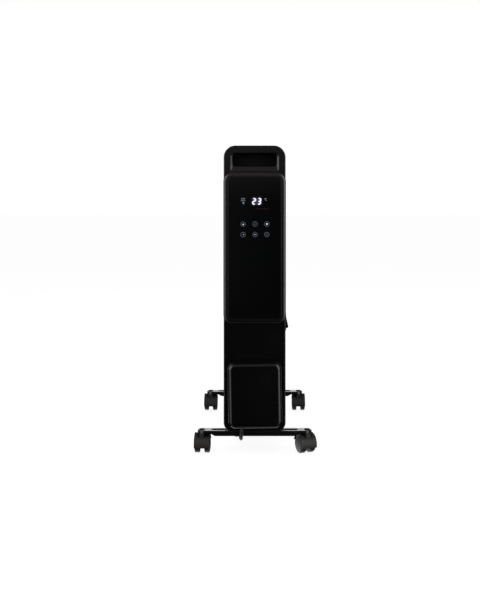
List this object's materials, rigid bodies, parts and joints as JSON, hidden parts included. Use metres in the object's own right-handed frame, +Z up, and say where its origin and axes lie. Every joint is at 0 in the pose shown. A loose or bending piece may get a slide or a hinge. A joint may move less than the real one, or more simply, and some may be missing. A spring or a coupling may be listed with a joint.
{
  "type": "oil filled radiator heater",
  "caption": "Slim oil filled radiator on twin-wheel castors, with a touch-panel control cover, moulded hand pocket, side rocker switch and cord winder.",
  "frame": {"origin": "on the floor, under the middle of the heater's outer box without its mains lead", "axes": "+Z up; the control cover faces -Y; +X to the right as seen by someone facing the cover"},
  "size_m": [0.2674, 0.531, 0.6693],
  "materials": {
    "black_paint": "gloss black powder coat",
    "satin_plastic": "fine satin black moulding",
    "matte_plastic": "matte dark grey moulding",
    "wheel_plastic": "matte dark grey",
    "black_glass": "back-printed black glass, polished; opaque",
    "trim_plastic": "gloss black with a warm tint",
    "zinc_steel": "bright zinc plate",
    "brass": "turned",
    "aluminium_sheet": "mill finish sheet",
    "circuit_board": "solder resist",
    "insulator": "moulded insulator",
    "rubber": "matte black"
  },
  "bodies": {
    "root": {"fin_1": "black_paint", "fin_2": "black_paint", "fin_3": "black_paint", "fin_4": "black_paint", "fin_5": "black_paint", "fin_6": "black_paint", "fin_7": "black_paint", "fin_8": "black_paint", "fin_9": "black_paint", "front_foot": "black_paint", "rear_foot": "black_paint", "rear_u_bolt": "zinc_steel", "front_foot_bolt_left": "zinc_steel", "front_wing_nut_left": "zinc_steel", "rear_wing_nut_left": "zinc_steel", "front_foot_bolt_right": "zinc_steel", "front_wing_nut_right": "zinc_steel", "rear_wing_nut_right": "zinc_steel", "castor_stem_front_left": "zinc_steel", "castor_stem_front_right": "zinc_steel", "castor_stem_rear_left": "zinc_steel", "castor_stem_rear_right": "zinc_steel", "front_cover": "satin_plastic", "chassis_plate": "zinc_steel", "heat_shield": "aluminium_sheet", "panel_trim": "trim_plastic", "glass_panel": "black_glass", "display_board": "circuit_board", "power_board": "circuit_board", "element_flange": "brass", "element_gasket": "rubber", "heating_element": "zinc_steel", "thermal_cutout": "insulator", "tilt_switch": "satin_plastic", "terminal_block": "insulator", "room_sensor": "insulator", "switch_housing": "satin_plastic", "winder_hub": "satin_plastic", "winder_plate": "satin_plastic", "cord_gland": "rubber", "mains_lead": "rubber", "lead_coil": "rubber", "plug": "rubber"},
    "castor_front_left": {"castor_hood_front_left": "matte_plastic", "castor_axle_front_left": "zinc_steel"},
    "wheel_front_left_a": {"wheel_front_left_a": "wheel_plastic"},
    "wheel_front_left_b": {"wheel_front_left_b": "wheel_plastic"},
    "castor_front_right": {"castor_hood_front_right": "matte_plastic", "castor_axle_front_right": "zinc_steel"},
    "wheel_front_right_a": {"wheel_front_right_a": "wheel_plastic"},
    "wheel_front_right_b": {"wheel_front_right_b": "wheel_plastic"},
    "castor_rear_left": {"castor_hood_rear_left": "matte_plastic", "castor_axle_rear_left": "zinc_steel"},
    "wheel_rear_left_a": {"wheel_rear_left_a": "wheel_plastic"},
    "wheel_rear_left_b": {"wheel_rear_left_b": "wheel_plastic"},
    "castor_rear_right": {"castor_hood_rear_right": "matte_plastic", "castor_axle_rear_right": "zinc_steel"},
    "wheel_rear_right_a": {"wheel_rear_right_a": "wheel_plastic"},
    "wheel_rear_right_b": {"wheel_rear_right_b": "wheel_plastic"},
    "rocker": {"switch_rocker": "satin_plastic"}
  },
  "joints": [
    {"name": "swivel_front_left", "type": "hinge", "parent": "root", "child": "castor_front_left", "pos_m": [-0.1145, -0.2165, 0.045], "axis": [0, 0, 1], "continuous": true},
    {"name": "roll_front_left_a", "type": "hinge", "parent": "castor_front_left", "child": "wheel_front_left_a", "pos_m": [-0.11387, -0.20752, 0.02], "axis": [0.9976, -0.0698, 0], "continuous": true},
    {"name": "roll_front_left_b", "type": "hinge", "parent": "castor_front_left", "child": "wheel_front_left_b", "pos_m": [-0.11387, -0.20752, 0.02], "axis": [0.9976, -0.0698, 0], "continuous": true},
    {"name": "swivel_front_right", "type": "hinge", "parent": "root", "child": "castor_front_right", "pos_m": [0.1145, -0.2165, 0.045], "axis": [0, 0, 1], "continuous": true},
    {"name": "roll_front_right_a", "type": "hinge", "parent": "castor_front_right", "child": "wheel_front_right_a", "pos_m": [0.1107, -0.20834, 0.02], "axis": [0.9063, 0.4226, 0], "continuous": true},
    {"name": "roll_front_right_b", "type": "hinge", "parent": "castor_front_right", "child": "wheel_front_right_b", "pos_m": [0.1107, -0.20834, 0.02], "axis": [0.9063, 0.4226, 0], "continuous": true},
    {"name": "swivel_rear_left", "type": "hinge", "parent": "root", "child": "castor_rear_left", "pos_m": [-0.1145, 0.2235, 0.045], "axis": [0, 0, 1], "continuous": true},
    {"name": "roll_rear_left_a", "type": "hinge", "parent": "castor_rear_left", "child": "wheel_rear_left_a", "pos_m": [-0.11419, 0.23249, 0.02], "axis": [0.9994, -0.0349, 0], "continuous": true},
    {"name": "roll_rear_left_b", "type": "hinge", "parent": "castor_rear_left", "child": "wheel_rear_left_b", "pos_m": [-0.11419, 0.23249, 0.02], "axis": [0.9994, -0.0349, 0], "continuous": true},
    {"name": "swivel_rear_right", "type": "hinge", "parent": "root", "child": "castor_rear_right", "pos_m": [0.1145, 0.2235, 0.045], "axis": [0, 0, 1], "continuous": true},
    {"name": "roll_rear_right_a", "type": "hinge", "parent": "castor_rear_right", "child": "wheel_rear_right_a", "pos_m": [0.11434, 0.2325, 0.02], "axis": [0.9998, 0.0175, 0], "continuous": true},
    {"name": "roll_rear_right_b", "type": "hinge", "parent": "castor_rear_right", "child": "wheel_rear_right_b", "pos_m": [0.11434, 0.2325, 0.02], "axis": [0.9998, 0.0175, 0], "continuous": true},
    {"name": "power_rocker", "type": "hinge", "parent": "root", "child": "rocker", "pos_m": [0.064, -0.1965, 0.285], "axis": [0, 1, 0], "range_deg": [0, 24]}
  ]
}
